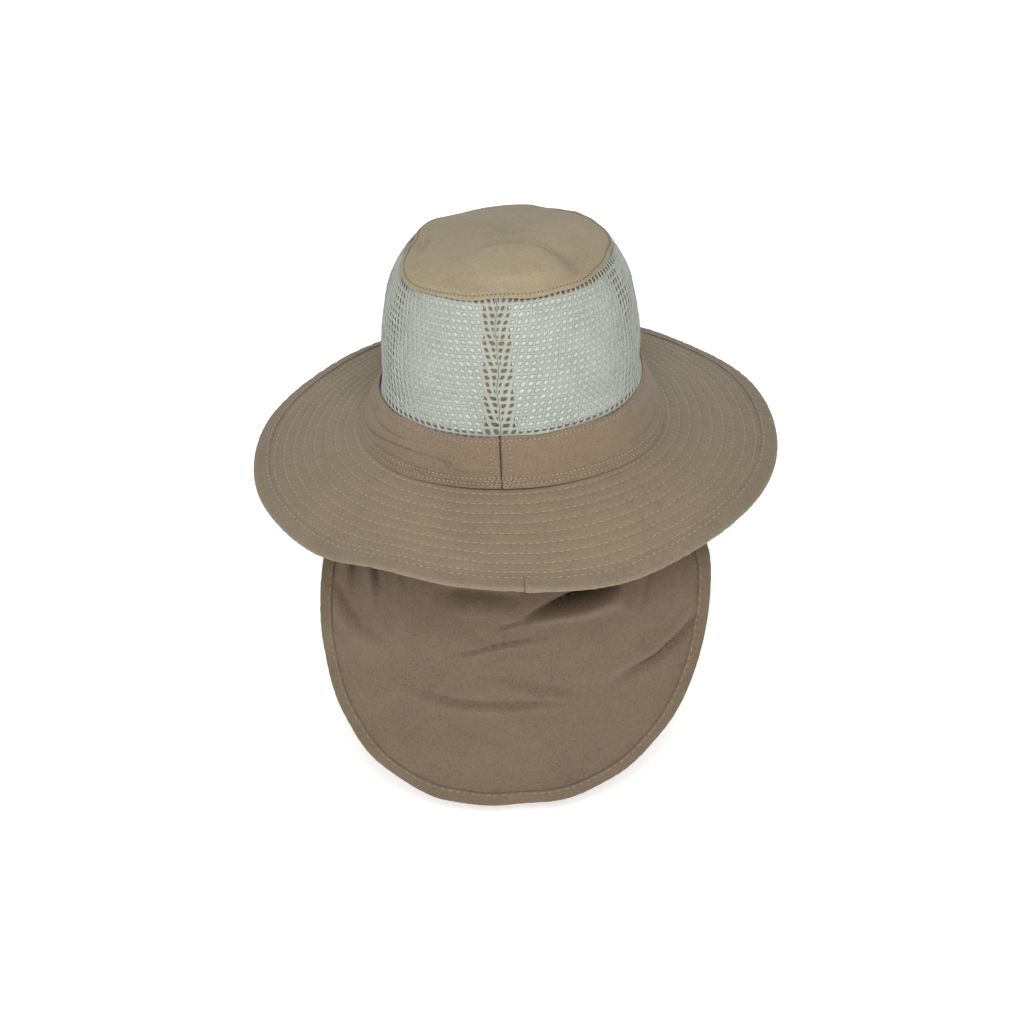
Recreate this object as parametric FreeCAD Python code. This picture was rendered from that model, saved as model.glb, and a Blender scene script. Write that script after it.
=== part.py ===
"""A wide-brim sun hat with a mesh crown and a neck flap, as separate sewn pieces.

Millimetres. The origin is the middle of the head opening, where the crown band meets the brim.
+Z is up and the wearer faces +Y, so the flap hangs at the back, on the -Y side.
"""

import FreeCAD, Part
import math
import os

Vector = FreeCAD.Vector

# Head opening: an egg-shaped oval for a 58 cm head, widest a little behind its middle.
OPENING_HALF_WIDTH = 90.0
OPENING_REACH = 95.0
OPENING_SETBACK = 14.0

# Crown: the tip's edge slopes down towards the front, by this much per millimetre.
BAND_HEIGHT = 33.0
TIP_EDGE_HEIGHT = 105.5
TIP_SLOPE = 0.129
TIP_HALF_WIDTH = 62.0
TIP_HALF_LENGTH = 70.0
TIP_DOME = 9.0

# Brim: three plies that fall from the opening to a bound edge.
BRIM_HALF_WIDTH = 155.0
BRIM_HALF_LENGTH = 165.0
BRIM_DROP = 28.0
BRIM_REACH = 68.0
BRIM_PLY = 0.9
BRIM_BINDING_WIDTH = 9.0

# Neck flap: hangs from a heading sewn under the brim, from ear to ear.
FLAP_TOP = -7.5
FLAP_BOTTOM = -194.5
FLAP_BACK = 96.0
FLAP_SLOPE = 0.19
FLAP_HALF_WIDTH = 115.5
FLAP_CLOTH = 1.2
FLAP_BINDING_WIDTH = 7.0
HEADING_WIDTH = 8.0
HEADING_HALF_ANGLE = 70.0

# Flap's wrap round the neck: how far its sides reach forward at the top, how much of that is lost
# per millimetre down, and how far from the middle the wrap is complete.
FLAP_WRAP = 50.0
FLAP_WRAP_LOSS = 0.11
FLAP_SPREAD_TOP = 84.0
FLAP_SPREAD_GROWTH = 32.0
FLAP_SPREAD_DEPTH = 45.0

# Cloths, and the room left between two layers.
CLOTH = 1.0
BINDING_CLOTH = 0.7
MESH = 1.0
LINING = 0.5
TAPE = 0.8
TAPE_HALF_WIDTH = 8.0
PLY_GAP = 0.2

# Angles round the hat are counted from the centre back, positive towards +X.
LEFT_TAPE_ANGLE = -66.0
RIGHT_TAPE_ANGLE = 81.0
SEAM_GAP_ANGLE = 0.1

# Levels where the crown's inner layers start and end.
LEVEL_GAP = 1.0
MESH_START = BAND_HEIGHT - 8.0
SWEATBAND_TOP = BAND_HEIGHT + 4.0
LINING_START = SWEATBAND_TOP + LEVEL_GAP
LINING_END = TIP_EDGE_HEIGHT - 9.0

# How closely the surfaces are described: places taken along each of them.
POINTS_ROUND = 40
RING_LEVELS = 9
PANEL_LEVELS = 15
PANEL_COLUMN_ANGLE = 9.0
FEWEST_PANEL_COLUMNS = 5
HEADING_COLUMNS = 17
HEADING_ROWS = 3
FLAP_COLUMNS = 21
FLAP_ROWS = 15
OUTLINE_PLACES = 41

ALL_ROUND = [360.0 * i / POINTS_ROUND for i in range(POINTS_ROUND)]

# Crown wall: level, half width, reach to back and front, setback, slope of each section.
CROWN_SECTIONS = (
    (0.0, OPENING_HALF_WIDTH, OPENING_REACH, OPENING_SETBACK, 0.0),
    (BAND_HEIGHT, 78.0, 90.0, 22.0, 0.0),
    (60.0, 77.5, 85.5, 16.0, 0.03),
    (86.0, 73.0, 79.0, 6.0, 0.09),
    (TIP_EDGE_HEIGHT - 6.0, 67.5, 74.5, 2.0, TIP_SLOPE),
    (TIP_EDGE_HEIGHT, TIP_HALF_WIDTH, TIP_HALF_LENGTH, 0.0, TIP_SLOPE),
)


def save(shape, node):
    """Writes one node as STEP."""
    shape.exportStep("parts/" + node + ".step")


def steps(first, last, count):
    """Evenly spaced values from first to last."""
    return [first + (last - first) * i / (count - 1) for i in range(count)]


def oval_point(angle, half_width, reach, setback):
    """A point of an egg-shaped oval whose widest place lies setback behind the Z axis."""
    turn = math.radians(angle)
    length = reach - setback if math.cos(turn) > 0 else reach + setback
    return Vector(half_width * math.sin(turn), -length * math.cos(turn) - setback, 0)


def section_at(level):
    """The crown's section at a level, on smooth curves through the given sections."""
    last = len(CROWN_SECTIONS) - 1
    k = 0
    while k < last - 1 and level > CROWN_SECTIONS[k + 1][0]:
        k += 1
    start, end = CROWN_SECTIONS[k], CROWN_SECTIONS[k + 1]
    before = CROWN_SECTIONS[max(k - 1, 0)]
    after = CROWN_SECTIONS[min(k + 2, last)]
    span = end[0] - start[0]
    t = (level - start[0]) / span
    found = []
    for i in range(1, len(start)):
        lean_start = (end[i] - before[i]) / (end[0] - before[0]) * span
        lean_end = (after[i] - start[i]) / (after[0] - start[0]) * span
        found.append(
            start[i] * (2 * t**3 - 3 * t**2 + 1)
            + lean_start * (t**3 - 2 * t**2 + t)
            + end[i] * (3 * t**2 - 2 * t**3)
            + lean_end * (t**3 - t**2)
        )
    return found


def crown_point(angle, level, inset):
    """A point of the crown wall, inset from its outer face."""
    half_width, reach, setback, slope = section_at(level)
    point = oval_point(angle, half_width - inset, reach - inset, setback)
    point.z = level - slope * point.y
    return point


def brim_point(angle, share, drop):
    """A point of the brim: share 0 at the opening and 1 at the edge, drop under its top."""
    inner = oval_point(angle, OPENING_HALF_WIDTH, OPENING_REACH, OPENING_SETBACK)
    outer = oval_point(angle, BRIM_HALF_WIDTH, BRIM_HALF_LENGTH, 0)
    return inner + (outer - inner) * share - Vector(0, 0, BRIM_DROP * share + drop)


def closed_solid(faces):
    """One solid inside the faces, which meet along their edges."""
    shell = Part.makeShell(faces)
    shell.sewShape()
    solid = Part.makeSolid(Part.Shell(shell.Faces))
    if solid.Volume < 0:
        solid.reverse()
    return solid


def ring(loops):
    """A closed ring. Each loop of points is one corner of its section, in order round it."""
    wires = []
    for points in loops:
        curve = Part.BSplineCurve()
        curve.interpolate(Points=points, PeriodicFlag=True)
        wires.append(Part.Wire(curve.toShape()))
    faces = []
    for one, other in zip(wires, wires[1:] + wires[:1]):
        faces += Part.makeLoft([one, other], False, True).Faces
    return closed_solid(faces)


def panel(outer, inner):
    """A sheet between two grids of points, with smooth faces and straight-cut edges."""
    surfaces = []
    for grid in (outer, inner):
        surface = Part.BSplineSurface()
        surface.interpolate(grid)
        surfaces.append(surface)
    faces = [surface.toShape() for surface in surfaces]
    borders = []
    for surface in surfaces:
        u_first, u_last, v_first, v_last = surface.bounds()
        borders.append(
            [surface.uIso(u_first), surface.uIso(u_last)]
            + [surface.vIso(v_first), surface.vIso(v_last)]
        )
    for one, other in zip(*borders):
        faces.append(Part.makeRuledSurface(one.toShape(), other.toShape()))
    return closed_solid(faces)


def crown_panel(first, last, low, high, inset, thickness):
    """Part of a crown wall layer, between two angles and two levels."""
    columns = max(FEWEST_PANEL_COLUMNS, round((last - first) / PANEL_COLUMN_ANGLE) + 1)
    grids = []
    for depth in (inset, inset + thickness):
        grid = []
        for level in steps(low, high, PANEL_LEVELS):
            grid.append([crown_point(a, level, depth) for a in steps(first, last, columns)])
        grids.append(grid)
    return panel(*grids)


def crown_ring(low, high, inset, thickness):
    """Part of a crown wall layer that goes all round, between two levels."""
    levels = steps(low, high, RING_LEVELS)
    corners = [(level, inset) for level in levels]
    corners += [(level, inset + thickness) for level in reversed(levels)]
    return ring([[crown_point(a, *corner) for a in ALL_ROUND] for corner in corners])


def crown_mesh(first, last):
    """Half of the mesh wall, from inside the band up to the tip's edge."""
    return crown_panel(
        first + SEAM_GAP_ANGLE, last - SEAM_GAP_ANGLE, MESH_START, TIP_EDGE_HEIGHT, 0, MESH
    )


def tape_half_angle():
    """Half of the angle that a seam tape covers."""
    return math.degrees(TAPE_HALF_WIDTH / CROWN_SECTIONS[1][1])


def seam_tape(angle):
    """A tape behind the mesh, from the band to the tip."""
    half = tape_half_angle()
    inset = MESH + PLY_GAP
    return crown_panel(angle - half, angle + half, LINING_START, LINING_END, inset, TAPE)


def lining(first, last):
    """A thin sheet behind the mesh, between two tapes."""
    margin = tape_half_angle() + 2 * SEAM_GAP_ANGLE
    inset = MESH + PLY_GAP
    return crown_panel(first + margin, last - margin, LINING_START, LINING_END, inset, LINING)


def tip_seam_tape():
    """The strip under the tip's edge, above the lining."""
    low = LINING_END + LEVEL_GAP
    high = TIP_EDGE_HEIGHT - LEVEL_GAP
    return crown_ring(low, high, MESH + PLY_GAP, TAPE)


def crown_band():
    """The band round the foot of the crown, outside the mesh."""
    return crown_ring(0, BAND_HEIGHT, -CLOTH - PLY_GAP, CLOTH)


def sweatband():
    """The band against the head, behind the foot of the mesh."""
    return crown_ring(LEVEL_GAP, SWEATBAND_TOP, MESH + PLY_GAP, CLOTH)


def tip_ball(drop):
    """The flattened ball whose top is the domed tip, lowered by drop."""
    rise = TIP_DOME / TIP_HALF_WIDTH
    radius = (1 + rise * rise) / (2 * rise)
    stretch = FreeCAD.Matrix()
    stretch.scale(TIP_HALF_WIDTH, TIP_HALF_LENGTH, TIP_HALF_WIDTH)
    ball = Part.makeSphere(radius, Vector(0, 0, rise - radius)).transformGeometry(stretch)
    ball.rotate(Vector(0, 0, 0), Vector(1, 0, 0), -math.degrees(math.atan(TIP_SLOPE)))
    ball.translate(Vector(0, 0, TIP_EDGE_HEIGHT - drop))
    return ball


def crown_tip():
    """The domed oval of cloth on top of the crown, resting on the mesh's upper edge."""
    side = 4 * BRIM_HALF_LENGTH
    above = Part.makeBox(side, side, side, Vector(-side / 2, -side / 2, PLY_GAP))
    above.rotate(Vector(0, 0, 0), Vector(1, 0, 0), -math.degrees(math.atan(TIP_SLOPE)))
    above.translate(Vector(0, 0, TIP_EDGE_HEIGHT))
    return tip_ball(0).cut(tip_ball(CLOTH)).common(above)


def brim_share(width):
    """The share of the brim's reach that a width takes."""
    return width / BRIM_REACH


def brim_ring(corners):
    """A ring that follows the brim. Each corner of its section is a share and a drop."""
    return ring([[brim_point(a, *corner) for a in ALL_ROUND] for corner in corners])


def brim_ply(number):
    """One of the plies, counted from the top, from the opening to inside the binding."""
    top = number * (BRIM_PLY + PLY_GAP)
    bottom = top + BRIM_PLY
    end = 1 - brim_share(BINDING_CLOTH + PLY_GAP)
    return brim_ring([(0, top), (end, top), (end, bottom), (0, bottom)])


def folded_section(thickness, width):
    """Corners of a folded binding's section: distance in from the edge, and depth."""
    over = BINDING_CLOTH + PLY_GAP
    return [
        (0, -over),
        (0, thickness + over),
        (width, thickness + over),
        (width, thickness + PLY_GAP),
        (BINDING_CLOTH, thickness + PLY_GAP),
        (BINDING_CLOTH, -PLY_GAP),
        (width, -PLY_GAP),
        (width, -over),
    ]


def brim_thickness():
    """All the plies together."""
    return 3 * BRIM_PLY + 2 * PLY_GAP


def brim_binding():
    """The strip folded over the brim's edge."""
    section = folded_section(brim_thickness(), BRIM_BINDING_WIDTH)
    return brim_ring([(1 - brim_share(distance), drop) for distance, drop in section])


def flap_heading():
    """The flap's top edge, sewn flat under the inner edge of the brim."""
    angles = steps(-HEADING_HALF_ANGLE, HEADING_HALF_ANGLE, HEADING_COLUMNS)
    top = brim_thickness() + PLY_GAP
    grids = []
    for drop in (top, top + CLOTH):
        shares = steps(0, brim_share(HEADING_WIDTH), HEADING_ROWS)
        grids.append([[brim_point(a, share, drop) for a in angles] for share in shares])
    return panel(*grids)


def flap_spread(depth):
    """The distance from the middle at which the flap has wrapped forward in full."""
    return FLAP_SPREAD_TOP + FLAP_SPREAD_GROWTH * (1 - math.exp(-depth / FLAP_SPREAD_DEPTH))


def flap_point(x, z, offset):
    """A point of the flap at x and z, offset forwards from its outer face."""
    depth = FLAP_TOP - z
    wrap = FLAP_WRAP - FLAP_WRAP_LOSS * depth
    forward = wrap * (x / flap_spread(depth)) ** 2
    return Vector(x, forward - FLAP_BACK - FLAP_SLOPE * depth + offset, z)


# Half of the flap's outline, from its top corner to the middle of its bottom edge.
FLAP_OUTLINE = (
    (82.0, FLAP_TOP),
    (105.0, -38.0),
    (FLAP_HALF_WIDTH, -82.0),
    (108.0, -128.0),
    (98.5, -151.0),
    (83.0, -168.5),
    (58.0, -182.0),
    (30.0, -190.5),
    (0.0, FLAP_BOTTOM),
)


def flap_outline(inset):
    """Places along the flap's sides and bottom, as x and z, moved inwards by inset."""
    half = [Vector(x, 0, z) for x, z in FLAP_OUTLINE]
    curve = Part.BSplineCurve()
    curve.interpolate(half + [Vector(-p.x, 0, p.z) for p in half[-2::-1]])
    places = []
    for at in steps(curve.FirstParameter, curve.LastParameter, OUTLINE_PLACES):
        along = curve.tangent(at)[0]
        spot = curve.value(at) + Vector(along.z, 0, -along.x) * inset
        places.append((spot.x, spot.z))
    for end in (0, -1):
        places[end] = (places[end][0], FLAP_TOP)
    return places


def smooth_edge(points):
    """A smooth open edge through the points."""
    curve = Part.BSplineCurve()
    curve.interpolate(points)
    return curve.toShape()


def neck_flap():
    """The cloth that covers the neck."""
    far = 2 * BRIM_HALF_LENGTH
    margin = FLAP_BINDING_WIDTH
    side = [Vector(x, -far, z) for x, z in flap_outline(BINDING_CLOTH + PLY_GAP)]
    top = Part.LineSegment(side[-1], side[0]).toShape()
    outline = Part.Wire([smooth_edge(side), top])
    through = Part.Face(outline).extrude(Vector(0, 2 * far, 0))
    grid = []
    sideways = steps(-FLAP_HALF_WIDTH - margin, FLAP_HALF_WIDTH + margin, FLAP_COLUMNS)
    for z in steps(FLAP_TOP + margin, FLAP_BOTTOM - margin, FLAP_ROWS):
        grid.append([flap_point(x, z, 0) for x in sideways])
    surface = Part.BSplineSurface()
    surface.interpolate(grid)
    return surface.toShape().extrude(Vector(0, FLAP_CLOTH, 0)).common(through)


def flap_binding():
    """The strip folded over the flap's sides and bottom."""
    tracks = []
    for distance, depth in folded_section(FLAP_CLOTH, FLAP_BINDING_WIDTH):
        tracks.append([flap_point(x, z, depth) for x, z in flap_outline(distance)])
    edges = [smooth_edge(track) for track in tracks]
    faces = []
    for one, other in zip(edges, edges[1:] + edges[:1]):
        faces.append(Part.makeRuledSurface(one, other))
    for end in (0, -1):
        corners = [track[end] for track in tracks]
        faces.append(Part.Face(Part.makePolygon(corners + corners[:1])))
    return closed_solid(faces)


def main():
    """Builds every node."""
    os.makedirs("parts", exist_ok=True)
    save(crown_tip(), "crown_tip")
    save(tip_seam_tape(), "tip_seam_tape")
    save(crown_mesh(-180, 0), "crown_mesh_left")
    save(crown_mesh(0, 180), "crown_mesh_right")
    save(seam_tape(0), "back_seam_tape")
    save(seam_tape(180), "front_seam_tape")
    save(seam_tape(LEFT_TAPE_ANGLE), "side_tape_left")
    save(seam_tape(RIGHT_TAPE_ANGLE), "side_tape_right")
    save(lining(LEFT_TAPE_ANGLE, 0), "lining_back_left")
    save(lining(0, RIGHT_TAPE_ANGLE), "lining_back_right")
    save(lining(-180, LEFT_TAPE_ANGLE), "lining_front_left")
    save(lining(RIGHT_TAPE_ANGLE, 180), "lining_front_right")
    save(crown_band(), "crown_band")
    save(sweatband(), "sweatband")
    for number, node in enumerate(("brim_top", "brim_interlining", "brim_underside")):
        save(brim_ply(number), node)
    save(brim_binding(), "brim_binding")
    save(flap_heading(), "flap_heading")
    save(neck_flap(), "neck_flap")
    save(flap_binding(), "flap_binding")


main()
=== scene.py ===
"""The looks of a mesh-crown sun hat with a neck flap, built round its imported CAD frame.

Metres, in the frame's axes: the origin is the middle of the head opening, +Z is up and the flap is
on the -Y side. Angles round the hat are in radians from the centre back, positive towards +X.
"""

import math

import bpy
import numpy as np
from mathutils import Matrix, Vector
from mathutils.bvhtree import BVHTree


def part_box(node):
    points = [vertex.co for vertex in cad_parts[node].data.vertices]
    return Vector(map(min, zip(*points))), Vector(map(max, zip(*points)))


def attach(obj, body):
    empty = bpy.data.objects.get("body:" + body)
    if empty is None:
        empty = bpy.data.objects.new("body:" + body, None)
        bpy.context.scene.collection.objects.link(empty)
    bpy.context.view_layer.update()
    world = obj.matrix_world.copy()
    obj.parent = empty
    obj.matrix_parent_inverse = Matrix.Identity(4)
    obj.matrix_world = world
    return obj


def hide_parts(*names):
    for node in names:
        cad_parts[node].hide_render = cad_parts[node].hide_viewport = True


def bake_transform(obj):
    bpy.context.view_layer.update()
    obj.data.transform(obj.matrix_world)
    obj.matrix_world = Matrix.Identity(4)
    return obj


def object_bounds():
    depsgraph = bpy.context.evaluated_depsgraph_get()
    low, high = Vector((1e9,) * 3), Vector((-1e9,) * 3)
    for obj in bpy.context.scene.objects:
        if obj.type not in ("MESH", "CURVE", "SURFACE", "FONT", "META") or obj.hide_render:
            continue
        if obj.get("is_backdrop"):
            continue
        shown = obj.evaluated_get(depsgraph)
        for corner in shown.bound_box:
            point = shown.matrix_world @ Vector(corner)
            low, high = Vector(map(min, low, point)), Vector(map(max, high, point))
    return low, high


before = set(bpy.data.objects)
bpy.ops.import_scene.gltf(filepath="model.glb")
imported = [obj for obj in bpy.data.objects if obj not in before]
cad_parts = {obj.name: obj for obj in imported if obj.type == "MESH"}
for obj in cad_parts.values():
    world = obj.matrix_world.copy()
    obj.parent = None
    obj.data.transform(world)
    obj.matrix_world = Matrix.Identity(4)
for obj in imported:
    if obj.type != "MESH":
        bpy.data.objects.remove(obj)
cad_low, cad_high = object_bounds()

MM = 0.001
TURN = 2 * math.pi
BAND_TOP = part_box("crown_band")[1].z
BRIM_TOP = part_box("brim_top")[1].z
BRIM_DROP = BRIM_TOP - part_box("brim_top")[0].z
BRIM_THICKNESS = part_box("brim_top")[1].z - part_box("brim_underside")[1].z + 0.9 * MM
FLAP_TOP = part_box("neck_flap")[1].z
FLAP_DEPTH = FLAP_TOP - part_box("neck_flap")[0].z


# ---------------------------------------------------------------- reading the CAD shapes


def vertices(*nodes):
    """The vertices of CAD nodes, one row each."""
    return np.array([v.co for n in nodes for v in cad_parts[n].data.vertices])


def tree(*nodes):
    """A search tree over the faces of CAD nodes."""
    points, faces = [], []
    for n in nodes:
        start = len(points)
        points += [v.co.copy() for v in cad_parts[n].data.vertices]
        faces += [[start + i for i in p.vertices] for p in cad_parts[n].data.polygons]
    return BVHTree.FromPolygons(points, faces)


def angle_of(points):
    return np.arctan2(points[:, 0], -points[:, 1])


def fit_round(angle, value, terms=10):
    """A smooth, left-right even function of angle through the values, as cosine terms."""
    return np.linalg.lstsq(np.cos(np.outer(angle, np.arange(terms))), value, rcond=None)[0]


def round_value(terms, angle):
    return np.cos(np.multiply.outer(angle, np.arange(len(terms)))) @ terms


def outermost(points, key, where, bins=120):
    """In each bin of where, the point whose key is greatest."""
    which = np.digitize(where, np.linspace(where.min(), where.max() + 1e-6, bins))
    order = np.lexsort((-key, which))
    first = np.unique(which[order], return_index=True)[1]
    return points[order[first]]


def wall_basis(angle, share):
    """Terms of a smooth function of angle and of share of height."""
    angle, share = np.broadcast_arrays(angle, share)
    round_terms = np.cos(np.multiply.outer(angle, np.arange(9)))
    up_terms = np.polynomial.chebyshev.chebvander(2 * share - 1, 9)
    return (round_terms[..., :, None] * up_terms[..., None, :]).reshape(*angle.shape, -1)


def fit_wall(nodes, low, high):
    """Radius of an upright wall between the heights low and high, which depend on the angle."""
    found = tree(*nodes)
    angles, shares, radii = [], [], []
    for angle in np.linspace(-math.pi, math.pi, 90, endpoint=False):
        for share in np.linspace(0.0, 1.0, 36):
            outwards = Vector((math.sin(angle), -math.cos(angle), 0))
            height = low(angle) + share * (high(angle) - low(angle))
            start = outwards * cad_high.y + Vector((0, 0, height))
            hit = found.ray_cast(start, -outwards)[0]
            if hit:
                angles.append(angle)
                shares.append(share)
                radii.append(math.hypot(hit.x, hit.y))
    basis = wall_basis(np.array(angles), np.array(shares))
    return np.linalg.lstsq(basis, np.array(radii), rcond=None)[0]


mesh_points = vertices("crown_mesh_left", "crown_mesh_right")
rim_points = outermost(mesh_points, mesh_points[:, 2], angle_of(mesh_points))
RIM = fit_round(angle_of(rim_points), rim_points[:, 2], 6)
WALL_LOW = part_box("crown_mesh_left")[0].z + 1 * MM
WALL = fit_wall(
    ["crown_mesh_left", "crown_mesh_right"],
    lambda angle: WALL_LOW,
    lambda angle: float(round_value(RIM, angle)) - 0.5 * MM,
)
BAND = fit_wall(["crown_band"], lambda angle: 0.3 * MM, lambda angle: BAND_TOP - 0.3 * MM)

brim_points = vertices("brim_top")
inner_points = brim_points[brim_points[:, 2] > BRIM_TOP - 1.2 * MM]
outer_points = brim_points[brim_points[:, 2] < BRIM_TOP - BRIM_DROP + 1.2 * MM]
OPENING = fit_round(angle_of(inner_points), np.hypot(*inner_points.T[:2]))
EDGE = fit_round(angle_of(outer_points), np.hypot(*outer_points.T[:2]))

tip_points = vertices("crown_tip")
tip_edge = outermost(tip_points, np.hypot(*tip_points.T[:2]), angle_of(tip_points))
TIP = fit_round(angle_of(tip_edge), np.hypot(*tip_edge.T[:2]))
TIP_SLOPE, TIP_LEVEL = np.polyfit(tip_edge[:, 1], tip_edge[:, 2], 1)
TIP_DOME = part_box("crown_tip")[1].z - TIP_LEVEL


def fit_flap():
    """How far back the flap's outer face lies, as terms in width and depth."""
    found = tree("neck_flap")
    spots, backs = [], []
    for x in np.linspace(cad_low.x, cad_high.x, 61):
        for depth in np.linspace(0.01, 0.98, 40) * FLAP_DEPTH:
            hit = found.ray_cast(Vector((x, 2 * cad_low.y, FLAP_TOP - depth)), Vector((0, 1, 0)))[0]
            if hit:
                spots.append((x, depth))
                backs.append(hit.y)
    spots = np.array(spots)
    basis = flap_basis(spots[:, 0], spots[:, 1])
    return np.linalg.lstsq(basis, np.array(backs), rcond=None)[0]


def flap_basis(x, depth):
    across = np.power.outer((np.asarray(x) / 0.1) ** 2, np.arange(4))
    down = np.power.outer(np.asarray(depth) / 0.1, np.arange(5))
    return (across[..., :, None] * down[..., None, :]).reshape(*across.shape[:-1], -1)


FLAP = fit_flap()
FLAP_MIDDLE = FLAP_TOP - 0.42 * FLAP_DEPTH
edge_points = vertices("flap_binding")
edge_angle = np.arctan2(np.abs(edge_points[:, 0]), FLAP_MIDDLE - edge_points[:, 2])
edge_reach = np.hypot(edge_points[:, 0], edge_points[:, 2] - FLAP_MIDDLE)
edge_points = outermost(edge_points, edge_reach, edge_angle, 90)
edge_angle = np.arctan2(np.abs(edge_points[:, 0]), FLAP_MIDDLE - edge_points[:, 2])
edge_reach = np.hypot(edge_points[:, 0], edge_points[:, 2] - FLAP_MIDDLE)
FLAP_EDGE = np.polyfit(edge_angle**2, edge_reach, 6)
FLAP_EDGE_END = edge_angle.max()


# ---------------------------------------------------------------- shapes of the cloth


def lumps(size, seed, stretch=(1, 1, 1), count=16):
    """A smooth random function of place, about -1 to 1, whose lumps are about size across."""
    source = np.random.default_rng(seed)
    waves = source.normal(size=(count, 3))
    waves /= np.linalg.norm(waves, axis=1)[:, None]
    waves *= (math.pi / size) * source.uniform(0.7, 1.3, (count, 1)) / np.array(stretch)
    phases = source.uniform(0, TURN, count)

    def value(points):
        return np.sin(points @ waves.T + phases).sum(-1) / math.sqrt(count)

    return value


def bell(x, middle, width):
    return np.exp(-(((x - middle) / width) ** 2))


def place(angle, radius, height):
    """Points from angle, radius and height."""
    angle, radius, height = np.broadcast_arrays(angle, radius, height)
    return np.stack([radius * np.sin(angle), -radius * np.cos(angle), height], -1)


def normal_of(surface, u, v, step=2e-3):
    """Unit normals of a surface, which is a function of two parameters."""
    across = surface(u + step, v) - surface(u - step, v)
    along = surface(u, v + step) - surface(u, v - step)
    found = np.cross(across, along)
    return found / np.linalg.norm(found, axis=-1, keepdims=True)


wall_swell = lumps(42 * MM, 11)
wall_dents = lumps(16 * MM, 12)


def side_dent(angle):
    """How far the crown is pressed in on its left side."""
    return -4.6 * MM * bell(angle, -math.pi / 2, 0.75)


def top_lift(x, y):
    """How far the front of the crown's top is pushed up. All in millimetres."""
    front = np.clip((y - 20) / 40, 0, 1)
    return front * (0.8 * bell(x, 8, 22) + 2.2 * bell(x, 46, 14) + 2.8 * bell(x, -52, 13))


def wall(angle, share):
    """The outer face of the mesh wall: share 0 at the top of the band, 1 at the tip's edge."""
    rim = round_value(RIM, angle)
    height = BAND_TOP + share * (rim - BAND_TOP)
    fitted = np.clip((height - WALL_LOW) / (rim - 0.5 * MM - WALL_LOW), 0, 1)
    radius = wall_basis(angle, fitted) @ WALL + side_dent(angle)
    height = height + share * MM * top_lift(70 * np.sin(angle), -70 * np.cos(angle))
    points = place(angle, radius, height)
    soft = np.clip(share, 0, 1) * np.clip(1.15 - share, 0, 1) * 3
    swell = soft * (0.9 * wall_swell(points) + 0.35 * wall_dents(points)) * MM
    return place(angle, radius + swell, height)


band_creases = lumps(5 * MM, 21, (8, 8, 1), 26)
band_patches = lumps(24 * MM, 23, (2, 2, 1))
band_swell = lumps(30 * MM, 22)


def band(angle, share):
    """The outer face of the crown band: share 0 at the brim, 1 at its top edge."""
    radius = wall_basis(angle, share) @ BAND + side_dent(angle) * share**2
    height = share * BAND_TOP
    points = place(angle, radius, height)
    middle = np.clip(4 * share * (1 - share), 0, 1)
    creased = np.clip(band_patches(points) + 0.5, 0, 1) * middle
    shift = (0.45 * band_swell(points) + 0.12 * band_creases(points)) * MM
    shift = shift - 0.9 * MM * creased * bell(band_creases(points), 0, 0.3)
    arc = angle * radius
    shift = shift - 0.9 * MM * bell(arc, 0, 0.45 * MM)
    shift = shift + 0.6 * MM * bell(arc, 3.2 * MM, 2.2 * MM)
    for level in BAND_ROWS:
        shift = shift - 0.35 * MM * bell(share, level, 0.03)
    for side_row in BAND_SEAM_ROWS:
        shift = shift - 0.3 * MM * bell(arc, side_row, 0.8 * MM)
    foot = 1.5 * MM * bell(angle, 0.03, 0.55) * np.clip(1 - share / 0.5, 0, 1)
    edge = 0.5 * MM * band_swell(points * 2) * np.clip((share - 0.8) / 0.2, 0, 1)
    return place(angle, radius + shift, height + foot + edge)


BAND_SEAM_ROWS = (-5.6 * MM, 5.6 * MM)
BAND_ROWS = (0.08, 0.19, 0.92)
BRIM_ROWS = (0.04, 0.135, 0.23, 0.325, 0.427, 0.53, 0.625, 0.72, 0.815)
brim_swell = lumps(60 * MM, 31)
brim_puff = lumps(11 * MM, 32, (1, 1, 1))


def brim(angle, share):
    """The brim's upper face: share 0 at the opening, 1 at the edge."""
    radius = round_value(OPENING, angle) * (1 - share) + round_value(EDGE, angle) * share
    points = place(angle, radius, 0)
    height = BRIM_TOP - BRIM_DROP * np.maximum(share, 0)
    out = np.clip(share, 0, 1.1)
    height = height + out**2 * MM * (
        7.0 * bell(angle, -0.45, 0.22) - 3.0 * bell(angle, 0.45, 0.25)
    )
    height = height + 3.2 * MM * bell(angle, 0.06, 0.4) * out**6
    height = height + out * 1.2 * MM * brim_swell(points)
    inside = np.clip(share / 0.05, 0, 1) * np.clip((1.0 - share) / 0.12, 0, 1)
    rows = sum(bell(share, row, 0.013) for row in BRIM_ROWS)
    height = height + inside * MM * (0.2 * brim_puff(points) - 0.6 * rows)
    return place(angle, radius, height)


def brim_under(angle, share):
    """The brim's lower face. The brim is thinner towards its edge."""
    points = brim(angle, share)
    thin = np.clip((share - 0.80) / 0.20, 0, 1)
    points[..., 2] -= BRIM_THICKNESS - 1.4 * MM * thin**2 * (3 - 2 * thin)
    rows = sum(bell(share, row, 0.011) for row in BRIM_ROWS)
    points[..., 2] += 0.9 * MM * rows * np.clip(share / 0.05, 0, 1)
    return points


tip_swell = lumps(26 * MM, 41)
tip_ripple = lumps(7 * MM, 42)
tip_wave = lumps(15 * MM, 43)
TIP_HEM = 0.05
# How far the tip's cloth laps over the top of the wall: angle in degrees, lap in millimetres.
TIP_LAPS = (
    (-180, 1.5), (-150, 2), (-128, 5.5), (-112, 1), (-100, 1.5), (-80, 2.5), (-62, 7), (-50, 9),
    (-36, 8), (-18, 6), (0, 6), (20, 6), (38, 6), (60, 4), (90, 2.5), (117, 5), (135, 1.5),
    (180, 1.5),
)  # fmt: skip


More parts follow.
